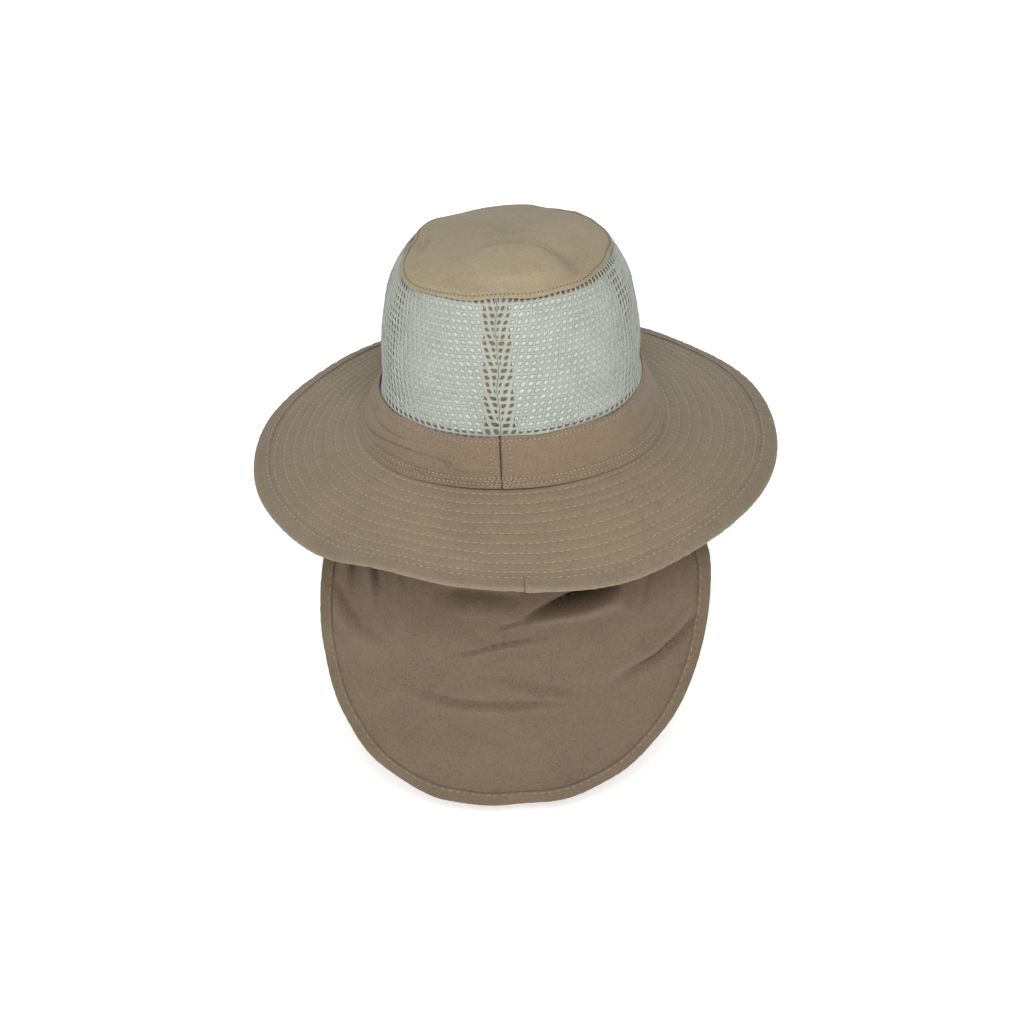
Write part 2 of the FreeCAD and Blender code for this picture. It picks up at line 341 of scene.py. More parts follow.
def tip_lap(angle):
    """How far the tip's cloth laps over the top of the wall."""
    turns, laps = np.array(TIP_LAPS).T
    near = [np.interp(np.degrees(angle) + off, turns, laps) for off in (-8, -4, 0, 4, 8)]
    rim_x, rim_y = 0.065 * np.sin(angle), -0.065 * np.cos(angle)
    wave = tip_wave(np.stack([rim_x, rim_y, np.zeros_like(rim_x)], -1))
    return (sum(near) / len(near) + 0.7 * wave) * MM


def tip_bump(x, y):
    """The raised place near the back of the tip, 0 to 1, at a place in millimetres."""
    return 0.5 - 0.5 * np.tanh((np.hypot((x - 9) / 27, (y + 44) / 24) - 1) * 4.5)


def tip_hollow(x, y):
    """The curved hollow in front of the raised place, 0 to 1, at a place in millimetres."""
    across, ahead = (x - 9) / 27, (y + 44) / 24
    return bell(np.hypot(across, ahead), 1.3, 0.26) * bell(np.arctan2(ahead, across), 0.95, 0.75)


def tip(angle, share):
    """The tip's upper face: share 0 in the middle, 1 at the top of the wall, then its lap."""
    angle, share = np.broadcast_arrays(np.asarray(angle, float), np.asarray(share, float))
    inner = np.minimum(share, 1)
    reach = round_value(TIP, angle) + side_dent(angle)
    points = place(angle, reach * inner, 0)
    x, y = points[..., 0] / MM, points[..., 1] / MM
    height = TIP_LEVEL + TIP_SLOPE * points[..., 1] + TIP_DOME * (1 - inner**2)
    bump = 5.0 * tip_bump(x, y)
    second = 2.0 * bell(np.hypot((x - 40) / 18, (y - 20) / 22), 0, 1)
    third = 2.6 * bell(np.hypot((x + 34) / 18, (y + 36) / 18), 0, 1)
    hollow = -4.5 * tip_hollow(x, y)
    pinch = -4.0 * bell(np.hypot((x + 47) / 4, (y - 6) / 14), 0, 1)
    puckers = -0.7 * sum(
        bell(x, middle, 2.0) * bell(inner, 0.9, 0.07) for middle in (-9, 14, 27)
    )
    inside = np.clip((1.04 - inner) / 0.15, 0, 1)
    soft = 0.7 * tip_swell(points) + 0.16 * tip_ripple(points)
    height = height + MM * (inside * (bump + second + third + hollow + pinch) + puckers + soft)
    height = height + MM * (1.7 + inner * top_lift(x, y))
    lap = tip_lap(angle)
    over = np.clip((share - 1) / TIP_HEM, 0, 1)
    points = place(angle, reach * inner, height)
    outwards = place(angle, 1.0, -0.35) / math.hypot(1, 0.35)
    down = wall(angle, 0.94) - wall(angle, 1.0)
    down = down / np.linalg.norm(down, axis=-1, keepdims=True)
    over, lap_length = over[..., None], lap[..., None]
    points = points + lap_length * ((over - over**2 / 2) * outwards + over**2 / 2 * down)
    from_edge = np.where(share < 1, lap + (1 - share) * reach, lap * (1 - over[..., 0]))
    groove = 0.5 * bell(from_edge, TIP_ROW, 1.1 * MM)
    curl = 0.5 * np.clip(1 - from_edge / (2.5 * MM), 0, 1) * tip_wave(points)
    points[..., 2] += MM * (curl - groove)
    return points


TIP_ROW = 3.0 * MM


def tip_share(angle, from_edge):
    """The share at which the tip is a distance from its edge."""
    lap = tip_lap(angle)
    reach = round_value(TIP, angle)
    return np.where(lap > from_edge, 1 + TIP_HEM * (1 - from_edge / lap), 1 - (from_edge - lap) / reach)


# Valleys in the flap, as places (x, z) along each, in millimetres at its two ends: width and depth.
FLAP_VALLEYS = (
    (((6, -82), (14, -77), (28, -72), (44, -67), (62, -61)), (1.5, 5.2), (4, 17)),
    (((-10, -87), (7, -81)), (1.0, 1.0), (1.4, 1.8)),
    (((-36, -103), (-17, -99), (0, -95), (23, -91)), (0.9, 1.2), (2.4, 1.8)),
    (((-62, -124), (-43, -129), (-26, -132), (-3, -132), (20, -132), (40, -131)), (1.9, 1.5), (3.4, 2.2)),
    (((-22, -114), (1, -116), (19, -124), (45, -126)), (3, 2.2), (1.4, 2.6)),
    (((111, -96), (99, -107), (84, -116), (71, -120), (54, -128)), (2.7, 2.6), (7, 3)),
    (((-95, -26), (-94, -62), (-96, -80)), (3, 2.6), (9, 3)),
    (((-79, -26), (-80, -62), (-80, -80)), (2.6, 2), (7.5, 2.2)),
    (((-106, -74), (-97, -89), (-88, -96), (-70, -101)), (3, 3), (4.2, 1.8)),
    (((81, -58), (74, -88)), (1.8, 1.8), (1.6, 1.0)),
    (((-45, -64), (-20, -64), (6, -67)), (5, 5), (3, 3)),
    (((-47, -180), (-44, -166)), (2.2, 2.2), (0.7, 0.5)),
    (((-26, -186), (-27, -171)), (2.0, 2.0), (0.7, 0.5)),
    (((-3, -186), (-6, -172)), (2.4, 2.4), (0.6, 0.5)),
    (((-40, -146), (-12, -152), (12, -160)), (2.4, 2.4), (1, 0.8)),
)
flap_swell = lumps(48 * MM, 51)
flap_dents = lumps(17 * MM, 52)
flap_ripple = lumps(5 * MM, 53, (1, 1, 1), 24)


def valley(x, z, path, widths, depths):
    """Depth at places of a valley along a path, with the lip of cloth pushed up below it."""
    nearest = np.full(np.shape(x), np.inf)
    side = np.zeros(np.shape(x))
    along = np.zeros(np.shape(x))
    lengths = [math.dist(a, b) for a, b in zip(path, path[1:])]
    done = 0.0
    for (ax, az), (bx, bz), length in zip(path, path[1:], lengths):
        dx, dz = (bx - ax) / length, (bz - az) / length
        ahead = np.clip((x - ax) * dx + (z - az) * dz, 0, length)
        off_x, off_z = x - ax - ahead * dx, z - az - ahead * dz
        distance = np.hypot(off_x, off_z)
        closer = distance < nearest
        nearest = np.where(closer, distance, nearest)
        side = np.where(closer, np.sign(off_x * dz - off_z * dx) * distance, side)
        along = np.where(closer, (done + ahead) / sum(lengths), along)
        done += length
    width = widths[0] + (widths[1] - widths[0]) * along
    depth = depths[0] + (depths[1] - depths[0]) * along
    fade = np.clip(np.sin(math.pi * along), 0, 1) ** 0.6
    bottom = np.exp(-np.abs(side / width) ** 1.5)
    lip = 0.5 * bell(side, 2.2 * width, 1.3 * width)
    return depth * fade * (bottom - lip)


def flap(x, depth):
    """The flap's outer face, at a distance from its middle and a depth below its top."""
    x, depth = np.broadcast_arrays(x, depth)
    back = flap_basis(x, depth) @ FLAP
    flat = np.stack([x, back, -depth], -1)
    side, level = x / MM, (FLAP_TOP - depth) / MM
    low = np.clip((depth / MM - 15) / 30, 0, 1)
    hollow = sum(valley(side, level, *one) for one in FLAP_VALLEYS)
    marks = 0.9 * bell(side, -67, 2.6) + 0.9 * bell(side, 45, 2.6)
    marks = marks * np.clip((134 + level) / 10, 0, 1)
    soft = 2.2 * flap_swell(flat) + 0.8 * flap_dents(flat) + 0.1 * flap_ripple(flat)
    dents = 2.4 * bell(np.hypot((side + 70) / 17, (level + 143) / 12), 0, 1)
    dents = dents + 1.8 * bell(np.hypot((side + 25) / 26, (level + 150) / 8), 0, 1)
    proud = low * (soft + marks - hollow - dents)
    sway = 6.5 * np.clip(depth / (60 * MM), 0, 1) - 12 * depth / FLAP_DEPTH
    return np.stack([x + sway * MM, back - proud * MM, FLAP_TOP - depth], -1)


def flap_outline(share, inwards=0.0):
    """Distance from the middle and depth, from the flap's left corner round to its right."""
    angle = (2 * share - 1) * FLAP_EDGE_END
    reach = np.polyval(FLAP_EDGE, angle**2)
    step = 1e-4
    turned = (np.polyval(FLAP_EDGE, (angle + step) ** 2) - reach) / step
    x, down = reach * np.sin(angle), reach * np.cos(angle)
    dx = turned * np.sin(angle) + reach * np.cos(angle)
    down_rate = turned * np.cos(angle) - reach * np.sin(angle)
    length = np.hypot(dx, down_rate)
    x = x + down_rate / length * inwards
    down = down - dx / length * inwards
    return x, np.maximum(down + FLAP_TOP - FLAP_MIDDLE, 0)


# ---------------------------------------------------------------- meshes


def grid_normals(grid, closed):
    """Unit normals of a grid of points, in rows."""
    if closed:
        wrapped = np.concatenate([grid[:, -1:], grid, grid[:, :1]], 1)
        across = np.gradient(wrapped, axis=1)[:, 1:-1]
    else:
        across = np.gradient(grid, axis=1)
    found = np.cross(across, np.gradient(grid, axis=0))
    size = np.linalg.norm(found, axis=-1, keepdims=True)
    return found / np.maximum(size, 1e-12)


def make_mesh(name, points, faces, uvs=None, painted_light_and_tone=None):
    """An object with smooth faces. uvs are one pair for each corner of each face."""
    mesh = bpy.data.meshes.new(name)
    mesh.from_pydata(points.reshape(-1, 3).tolist(), [], faces.tolist())
    mesh.shade_smooth()
    if uvs is not None:
        layer = mesh.uv_layers.new(name="cloth")
        layer.data.foreach_set("uv", uvs.astype(np.float32).ravel())
    # Painted light and shade, and other tone, carried to the cloth material.
    if painted_light_and_tone is not None:
        values = mesh.attributes.new("painted_light_and_tone", "FLOAT", "POINT").data
        values.foreach_set("value", painted_light_and_tone.astype(np.float32).ravel())
    mesh.update()
    made = bpy.data.objects.new(name, mesh)
    bpy.context.scene.collection.objects.link(made)
    return made


def quads(rows, columns, closed, start=0):
    """Faces of a grid of points, as numbers of points."""
    r, c = np.meshgrid(np.arange(rows - 1), np.arange(columns - (not closed)), indexing="ij")
    after = (c + 1) % columns
    corners = [r * columns + c, r * columns + after, (r + 1) * columns + after, (r + 1) * columns + c]
    return np.stack(corners, -1).reshape(-1, 4) + start


def grid_uvs(grid, closed):
    """Distances along the rows and columns, for each corner of the faces of a grid."""
    rows, columns = grid.shape[:2]
    ring = np.concatenate([grid, grid[:, :1]], 1) if closed else grid
    across = np.linalg.norm(np.diff(ring, axis=1), axis=-1).mean(0)
    along = np.linalg.norm(np.diff(grid, axis=0), axis=-1).mean(1)
    u = np.concatenate([[0], np.cumsum(across)])
    v = np.concatenate([[0], np.cumsum(along)])
    r, c = np.meshgrid(np.arange(rows - 1), np.arange(columns - (not closed)), indexing="ij")
    corners = [(u[c], v[r]), (u[c + 1], v[r]), (u[c + 1], v[r + 1]), (u[c], v[r + 1])]
    return np.stack([np.stack(pair, -1) for pair in corners], -2).reshape(-1, 4, 2), (u[-1], v[-1])


def cloth(name, outer, thickness, closed=False, flip=False, painted_light_and_tone=None):
    """A cloth whose outer face passes through a grid of points. Returns it and its flat size."""
    rows, columns = outer.shape[:2]
    normals = grid_normals(outer, closed) * (-1 if flip else 1)
    inner = outer - normals * np.broadcast_to(thickness, outer.shape[:2])[..., None]
    count = rows * columns
    faces = quads(rows, columns, closed)
    uvs, flat = grid_uvs(outer, closed)
    all_faces, all_uvs = [faces, faces[:, ::-1] + count], [uvs, uvs[:, ::-1]]
    borders = [(np.arange(columns), 1), ((rows - 1) * columns + np.arange(columns), -1)]
    if not closed:
        borders.append((np.arange(rows) * columns, -1))
        borders.append((np.arange(rows) * columns + columns - 1, 1))
    point_uvs = np.zeros((count, 2))
    point_uvs[faces.ravel()] = uvs.reshape(-1, 2)
    for edge, way in borders:
        following = np.roll(edge, -1) if closed else edge[1:]
        edge = edge if closed else edge[:-1]
        strip = np.stack([edge, edge + count, following + count, following], -1)[:, ::way]
        all_faces.append(strip)
        all_uvs.append(point_uvs[strip % count])
    faces, uvs = np.concatenate(all_faces), np.concatenate(all_uvs)
    if flip:
        faces, uvs = faces[:, ::-1], uvs[:, ::-1]
    points = np.concatenate([outer.reshape(-1, 3), inner.reshape(-1, 3)])
    marks = np.zeros(count) if painted_light_and_tone is None else painted_light_and_tone.ravel()
    made = make_mesh(name, points, faces, uvs, np.concatenate([marks, marks]))
    made.data.set_sharp_from_angle(angle=math.radians(50))
    return made, flat


def stitches(
    name, seams, length=3.8 * MM, gap=0.8 * MM, radius=0.27 * MM, sunk=0.1 * MM, first=0.0
):
    """Rows of thread stitches. Each seam is its points and the cloth's normals there."""
    stations, sides = 7, 5
    share = np.linspace(0, 1, stations)
    rise = np.sin(math.pi * share) ** 0.6
    turn = np.arange(sides) * TURN / sides
    source = np.random.default_rng(len(name))
    rings = []
    for index, (points, normals) in enumerate(seams):
        distance = np.concatenate([[0], np.cumsum(np.linalg.norm(np.diff(points, axis=0), axis=1))])
        phase = (0.37 * index) % 1 * (length + gap)
        starts = np.arange(first + phase, distance[-1] - length, length + gap)
        at = starts[:, None] + share * length * source.uniform(0.88, 1.05, (len(starts), 1))
        read = lambda values: np.stack([np.interp(at, distance, values[:, k]) for k in range(3)], -1)
        centre, up = read(points), read(normals)
        along = np.gradient(centre, axis=1)
        sideways = np.cross(along, up)
        sideways /= np.linalg.norm(sideways, axis=-1, keepdims=True)
        drift = source.normal(0, 0.12 * MM, (len(starts), 1)) * (share - 0.5) * 2
        centre = centre + sideways * drift[..., None]
        centre = centre + up * (rise * (radius + 0.1 * MM) - radius * 0.6 - sunk)[:, None]
        size = (radius * (0.55 + 0.45 * rise))[:, None, None]
        ring = centre[:, :, None] + size * (
            np.cos(turn)[:, None] * sideways[:, :, None] + np.sin(turn)[:, None] * up[:, :, None]
        )
        rings.append(ring.reshape(-1, 3))
    points = np.concatenate(rings)
    count = len(points) // (stations * sides)
    one = quads(stations, sides, True)
    faces = (one[None] + (np.arange(count) * stations * sides)[:, None, None]).reshape(-1, 4)
    return make_mesh(name, points, faces)


def seam(surface, u, v, lift=0.0, flip=False):
    """Points and normals along a line on a surface, for stitches()."""
    u, v = np.broadcast_arrays(np.asarray(u, float), np.asarray(v, float))
    normals = normal_of(surface, u, v) * (-1 if flip else 1)
    return surface(u, v) + normals * lift, normals


# ---------------------------------------------------------------- net

NET_ROWS = 20
NET_COLUMNS = 58
NET_LEAN = 0.24
NET_POINTS = 12
NET_SHEAR = 0.3


def even_angles(surface, share, count):
    """Angles from the centre back to the centre front, evenly spaced along the surface."""
    angles = np.linspace(0, math.pi, 400)
    points = surface(angles, np.full(400, share))
    distance = np.concatenate([[0], np.cumsum(np.linalg.norm(np.diff(points, axis=0), axis=1))])
    return np.interp(np.linspace(0, distance[-1], count), distance, angles)


def seam_wave(height):
    """How the centre-back seam wanders, about -1 to 1, at heights in millimetres."""
    return 0.6 * np.sin(height / 5.5) + 0.4 * np.sin(height / 2.9 + 1)


def net(name, side, seed):
    """Half of the net wall, as one strand ring round each hole. side is -1 for the left."""
    source = np.random.default_rng(seed)
    row, column = np.meshgrid(np.arange(-2, NET_ROWS), np.arange(-8, NET_COLUMNS), indexing="ij")
    row, column = row.ravel().astype(float), column.ravel().astype(float)
    left = column + NET_LEAN * (row + 0.5)
    kept = (left >= -0.6) & (left + 1 <= NET_COLUMNS + 0.6)
    row, column, left = row[kept], column[kept], left[kept]
    first, last = left < 0.4, left + 1 > NET_COLUMNS - 0.4

    step = np.linspace(0, 1, NET_POINTS // 4, endpoint=False)
    zero, one = np.zeros_like(step), np.ones_like(step)
    corner = np.concatenate(
        [np.stack(p, -1) for p in ((step, zero), (one, step), (1 - step, one), (zero, 1 - step))]
    )
    count = len(row)
    width = np.where(first, left + 1, np.where(last, NET_COLUMNS - left, 1.0))
    strand_x = 0.20 + source.normal(0, 0.015, count) + 0.10 * bell(left, 0.4, 1.3)
    strand_y = 0.20 + source.normal(0, 0.02, count) + 0.05 * bell(left, 0.4, 1.3)
    half = np.stack([np.maximum(0.5 - strand_x / width, 0.08), 0.5 - strand_y], -1)
    from_middle = corner - 0.5
    reach = (np.abs(from_middle[None] / half[:, None]) ** 2.6).sum(-1) ** (-1 / 2.6)
    hole = from_middle[None] * reach[..., None] + source.normal(0, 0.018, (count, 1, 2))
    hole[..., 0] += NET_SHEAR * hole[..., 1]
    hole = np.clip(hole + 0.5, 0.06, 0.94)

    crest = 0.5 * MM * (1 + 0.12 * source.normal(size=(count, 1)))
    rings = []
    for inwards, height in ((0, 1), (0.45, 0.86), (1, 0), (0.45, -0.86), (0, -1)):
        local = corner[None] * (1 - inwards) + hole * inwards
        at_row = row[:, None] + local[..., 1]
        start = np.where(first[:, None], 0, column[:, None] + NET_LEAN * at_row)
        end = np.where(last[:, None], NET_COLUMNS, column[:, None] + 1 + NET_LEAN * at_row)
        rings.append((start + (end - start) * local[..., 0], at_row, height * crest))
    columns, rows, heights = (
        np.stack([np.broadcast_to(ring[k], (count, NET_POINTS)) for ring in rings], 1)
        for k in range(3)
    )
    table = even_angles(wall, 0.35, NET_COLUMNS + 1)
    angle = np.interp(columns, np.arange(NET_COLUMNS + 1), table)
    angle = side * np.clip(angle, 0.0025, math.pi - 0.0025)
    angle = angle + 0.011 * seam_wave(rows * 4.1) * bell(columns, 0, 2.5)
    waves = lumps(22 * MM, seed + 1)(place(angle, 0.075, rows * 4.1 * MM))
    share = (rows + 0.1 * waves * (rows > 0.5) * (rows < NET_ROWS - 0.5)) / NET_ROWS
    points = wall(angle, share)
    normals = normal_of(wall, angle, share)
    points = points + normals * (heights - 0.5 * MM)[..., None]
    ring_faces = quads(5, NET_POINTS, True)
    faces = ring_faces[None] + (np.arange(count) * 5 * NET_POINTS)[:, None, None]
    faces = faces.reshape(-1, 4)
    if side < 0:
        faces = faces[:, ::-1]
    made = make_mesh(name, points, faces)
    bpy.context.view_layer.update()
    return made


# ---------------------------------------------------------------- materials


def linear(red, green, blue):
    """A colour given as 0 to 255 display values, as linear values."""
    parts = [c / 255 for c in (red, green, blue)]
    return [c / 12.92 if c <= 0.04045 else ((c + 0.055) / 1.055) ** 2.4 for c in parts] + [1.0]


class Nodes:
    """A short way to add and join nodes of one material."""

    def __init__(self, name):
        self.material = bpy.data.materials.new(name)
        self.material.use_nodes = True
        self.tree = self.material.node_tree
        self.shader = self.tree.nodes["Principled BSDF"]

    def add(self, kind, inputs=(), **settings):
        node = self.tree.nodes.new(kind)
        for key, value in settings.items():
            setattr(node, key, value)
        for socket, value in dict(inputs).items():
            if isinstance(value, bpy.types.NodeSocket):
                self.tree.links.new(value, node.inputs[socket])
            else:
                node.inputs[socket].default_value = value
        return node

    def math(self, operation, a, b):
        return self.add("ShaderNodeMath", {0: a, 1: b}, operation=operation).outputs[0]


def cloth_material(
    name, colour, pitch=0.8 * MM, weave=0.5, mottle=0.1, painted_light_and_tone_gain=0.12, roughness=0.88, sheen=0.12,
    slant=1.0,
):
    """Woven cloth: a twill weave, mottled colour, painted light and shade and other tone from a mesh attribute, and
    a soft sheen.
    """
    n = Nodes(name)
    place_in = n.add("ShaderNodeTexCoord")
    uv, spot = place_in.outputs["UV"], place_in.outputs["Object"]
    split = n.add("ShaderNodeSeparateXYZ", {0: uv})
    rise = n.math("MULTIPLY", split.outputs[1], slant)
    twill = n.math("ADD", split.outputs[0], rise)
    warp = n.math("SINE", n.math("MULTIPLY", twill, TURN / pitch), 0.0)
    weft = n.math("SINE", n.math("MULTIPLY", split.outputs[1], TURN / (0.62 * pitch)), 0.0)
    threads = n.math("ADD", n.math("MULTIPLY", warp, 0.7), n.math("MULTIPLY", weft, 0.3))
    broad = n.add("ShaderNodeTexNoise", {"Vector": spot, "Scale": 22.0, "Detail": 3.0}).outputs[0]
    patches = n.add("ShaderNodeTexNoise", {"Vector": spot, "Scale": 120.0, "Detail": 4.0}).outputs[0]
    fine = n.add("ShaderNodeTexNoise", {"Vector": spot, "Scale": 1000.0, "Detail": 3.0}).outputs[0]
    painted_light_and_tone = n.add("ShaderNodeAttribute", attribute_name="painted_light_and_tone").outputs["Fac"]
    tone = n.math("MULTIPLY", n.math("SUBTRACT", broad, 0.5), 0.9)
    tone = n.math("ADD", tone, n.math("MULTIPLY", n.math("SUBTRACT", patches, 0.5), 0.7))
    tone = n.math("ADD", tone, n.math("MULTIPLY", n.math("SUBTRACT", fine, 0.5), 3.0))
    tone = n.math("ADD", n.math("MULTIPLY", tone, mottle * 4), n.math("MULTIPLY", threads, 0.16))
    # Painted light and shade: the mesh attribute lightens or darkens the colour.
    tone = n.math("ADD", tone, n.math("MULTIPLY", painted_light_and_tone, painted_light_and_tone_gain * 4))
    tone = n.math("ADD", tone, 0.5)
    ramp = n.add("ShaderNodeValToRGB", {0: tone})
    # The dark end lets painted shade in grooves and creases go deep.
    ramp.color_ramp.elements.new(0.2)
    for element, factor in zip(ramp.color_ramp.elements, (0.36, 0.84, 1.30)):
        element.color = [c * factor for c in colour[:3]] + [1.0]
    n.tree.links.new(ramp.outputs[0], n.shader.inputs["Base Color"])
    relief = n.math("ADD", n.math("MULTIPLY", threads, 0.5), n.math("MULTIPLY", fine, 0.8))
    bump = n.add(
        "ShaderNodeBump", {"Strength": weave, "Distance": 0.25 * MM, "Height": relief}
    )
    wrinkles = n.add(
        "ShaderNodeBump",
        {"Strength": 0.35, "Distance": 0.8 * MM, "Height": patches, "Normal": bump.outputs[0]},
    )
    n.tree.links.new(wrinkles.outputs[0], n.shader.inputs["Normal"])
    rough = n.math("ADD", n.math("MULTIPLY", fine, 0.12), roughness - 0.06)
    n.tree.links.new(rough, n.shader.inputs["Roughness"])
    n.shader.inputs["Specular IOR Level"].default_value = 0.25
    n.shader.inputs["Sheen Weight"].default_value = sheen
    n.shader.inputs["Sheen Roughness"].default_value = 0.5
    return n.material


def yarn_material(name, colour, roughness=0.62, fibres=2600.0):
    """Yarn or sewing thread: fine twisted fibres, a little uneven in colour."""
    n = Nodes(name)
    spot = n.add("ShaderNodeTexCoord").outputs["Object"]
    fine = n.add("ShaderNodeTexNoise", {"Vector": spot, "Scale": fibres, "Detail": 3.0}).outputs[0]
    broad = n.add("ShaderNodeTexNoise", {"Vector": spot, "Scale": 60.0, "Detail": 3.0}).outputs[0]
    tone = n.math("ADD", n.math("MULTIPLY", fine, 0.55), n.math("MULTIPLY", broad, 0.45))
    ramp = n.add("ShaderNodeValToRGB", {0: tone})
    ramp.color_ramp.elements[0].position = 0.25
    ramp.color_ramp.elements[1].position = 0.75
    for element, factor in zip(ramp.color_ramp.elements, (0.80, 1.12)):
        element.color = [min(1.0, c * factor) for c in colour[:3]] + [1.0]
    n.tree.links.new(ramp.outputs[0], n.shader.inputs["Base Color"])
    bump = n.add("ShaderNodeBump", {"Strength": 0.5, "Distance": 0.15 * MM, "Height": fine})
    n.tree.links.new(bump.outputs[0], n.shader.inputs["Normal"])
    n.shader.inputs["Roughness"].default_value = roughness
    n.shader.inputs["Specular IOR Level"].default_value = 0.3
    n.shader.inputs["Sheen Weight"].default_value = 0.2
    return n.material


tan_tip = cloth_material("tan_tip", linear(155, 142, 116), mottle=0.11, painted_light_and_tone_gain=0.12)
tan_band = cloth_material("tan_band", linear(129, 113, 93), mottle=0.12, painted_light_and_tone_gain=0.16)
tan_brim = cloth_material("tan_brim", linear(133, 119, 98), mottle=0.11)
tan_flap = cloth_material("tan_flap", linear(110, 94, 78), mottle=0.13, painted_light_and_tone_gain=0.14)
tan_binding = cloth_material("tan_binding", linear(130, 116, 97), mottle=0.11, slant=-1.0)
flap_edging = cloth_material("flap_edging", linear(110, 96, 78), mottle=0.11, slant=-1.0)
tan_tape = cloth_material("tan_tape", linear(150, 122, 92), pitch=1.1 * MM, mottle=0.12)
white_lining = cloth_material(
    "white_lining", linear(206, 211, 204), mottle=0.03, weave=0.2, roughness=0.5, sheen=0.3
)
stiff_white = cloth_material("stiff_white", linear(220, 218, 210), mottle=0.05, weave=0.8)
net_yarn = yarn_material("net_yarn", linear(163, 168, 158))
pale_thread = yarn_material("pale_thread", linear(172, 160, 137))
tan_thread = yarn_material("tan_thread", linear(150, 136, 113))
dark_thread = yarn_material("dark_thread", linear(92, 78, 62))


# ---------------------------------------------------------------- pieces


def finish_piece(made, material, node):
    """Gives a piece its material and hides the CAD part it stands for."""
    made.data.materials.append(material)
    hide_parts(node)


def around(count):
    return np.linspace(-math.pi, math.pi, count, endpoint=False)


def grid_of(surface, u, v):
    return surface(*np.meshgrid(u, v))


def inset(surface, depth, flip=False):
    """A surface under another one, by a depth."""

    def lower(u, v):
        return surface(u, v) - normal_of(surface, u, v) * (-depth if flip else depth)

    return lower


# Crown wall
for side, word in ((-1, "left"), (1, "right")):
    half = net("net_" + word, side, 60 + side)
    flat = (0.245, 0.090)
    finish_piece(half, net_yarn, "crown_mesh_" + word)
    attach(half, "hat")


def tape_angle(node):
    """The angle of a side tape's middle."""
    low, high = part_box(node)
    return math.atan2((low.x + high.x) / 2, -(low.y + high.y) / 2)


TAPE_HALF = 0.1027
LEFT_ANGLE, RIGHT_ANGLE = tape_angle("side_tape_left"), tape_angle("side_tape_right")
behind = inset(wall, 1.3 * MM)
behind_tape = inset(wall, 1.5 * MM)
behind_lining = inset(wall, 2.4 * MM)
lining_low = 0.024
for name, node, first, last in (
    ("lining_back_l", "lining_back_left", LEFT_ANGLE + TAPE_HALF, -TAPE_HALF),
    ("lining_back_r", "lining_back_right", TAPE_HALF, RIGHT_ANGLE - TAPE_HALF),
    ("lining_front_l", "lining_front_left", -math.pi + TAPE_HALF, LEFT_ANGLE - TAPE_HALF),
    ("lining_front_r", "lining_front_right", RIGHT_ANGLE + TAPE_HALF, math.pi - TAPE_HALF),
):
    columns = max(30, int(abs(last - first) * 60))
    panel = grid_of(behind, np.linspace(first, last, columns), np.linspace(lining_low, 0.945, 50))
    made, flat = cloth(name, panel, 0.4 * MM)
    finish_piece(made, white_lining, node)
    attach(made, "hat")
for name, node, middle in (
    ("tape_back", "back_seam_tape", 0.0),
    ("tape_front", "front_seam_tape", math.pi),
    ("tape_left", "side_tape_left", LEFT_ANGLE),
    ("tape_right", "side_tape_right", RIGHT_ANGLE),
):
    panel = grid_of(
        behind_tape,
        np.linspace(middle - TAPE_HALF, middle + TAPE_HALF, 16),
        np.linspace(lining_low, 0.945, 60),
    )
    low = np.clip(1 - np.linspace(0, 1, 60) * 1.3, 0, 1)
    shade = np.broadcast_to(-0.7 * low[:, None], panel.shape[:2])
    made, flat = cloth(name, panel, 0.7 * MM, painted_light_and_tone=shade)
    finish_piece(made, tan_tape, node)
    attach(made, "hat")
ring = grid_of(behind_lining, around(220), np.linspace(0.90, 0.995, 8))
made, flat = cloth("tape_tip", ring, 0.7 * MM, closed=True)
finish_piece(made, tan_tape, "tip_seam_tape")
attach(made, "hat")

# Crown band and the sweatband inside it
columns = np.sort(np.concatenate([around(640), np.linspace(-0.012, 0.012, 41)]))
grid = grid_of(band, columns, np.linspace(0, 1, 72))
# Painted shade: darker in the creases and in the groove of the centre-back seam.
creased = -0.22 * bell(band_creases(grid), 0, 0.25) * np.clip(band_patches(grid) + 0.5, 0, 1)
creased = creased - 1.4 * bell(np.hypot(grid[..., 0], grid[..., 1]) * columns, 0, 0.6 * MM)
band_piece, flat = cloth("band", grid, 0.9 * MM, closed=True, painted_light_and_tone=creased)
finish_piece(band_piece, tan_band, "crown_band")
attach(band_piece, "hat")


def sweat(angle, share):
    """The sweatband's outer face, inside the band and the foot of the mesh."""
    low = inset(band, 2.4 * MM)(angle, np.clip(share, 0, 1))
    high = inset(wall, 1.45 * MM)(angle, np.maximum(share - 1, 0) * BAND_TOP / (80 * MM))
    blend = np.clip((share - 0.8) / 0.25, 0, 1)[..., None]
    points = low * (1 - blend) + high * blend
    points[..., 2] -= 3.2 * MM * np.clip(1 - share / 0.15, 0, 1)
    return points


grid = grid_of(sweat, around(360), np.linspace(0.04, 1.11, 40))
made, flat = cloth("sweatband_cloth", grid, 0.9 * MM, closed=True)
finish_piece(made, tan_band, "sweatband")
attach(made, "hat")
band_seams = [seam(band, np.linspace(-3.13, 3.13, 1200), row) for row in BAND_ROWS]
upright = np.linspace(0.03, 0.97, 60)
for offset in BAND_SEAM_ROWS:
    band_seams.append(seam(band, offset / 0.094, upright))
for row in (0.05, 0.135, 0.225):
    band_seams.append(seam(band, np.linspace(-0.10, 0.12, 40), row))
band_stitches = stitches("band_stitches", band_seams, length=1.7 * MM, gap=1.0 * MM)
band_stitches.data.materials.append(pale_thread)
# Painted shade: dark thread bits in the gaps between the stitches stand for the shaded needle holes.
band_holes = stitches(
    "band_holes", band_seams, length=0.8 * MM, gap=1.9 * MM, radius=0.32 * MM, sunk=0.2 * MM,
    first=1.8 * MM,
)
band_holes.data.materials.append(dark_thread)
for piece in (band_stitches, band_holes):
    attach(piece, "hat")

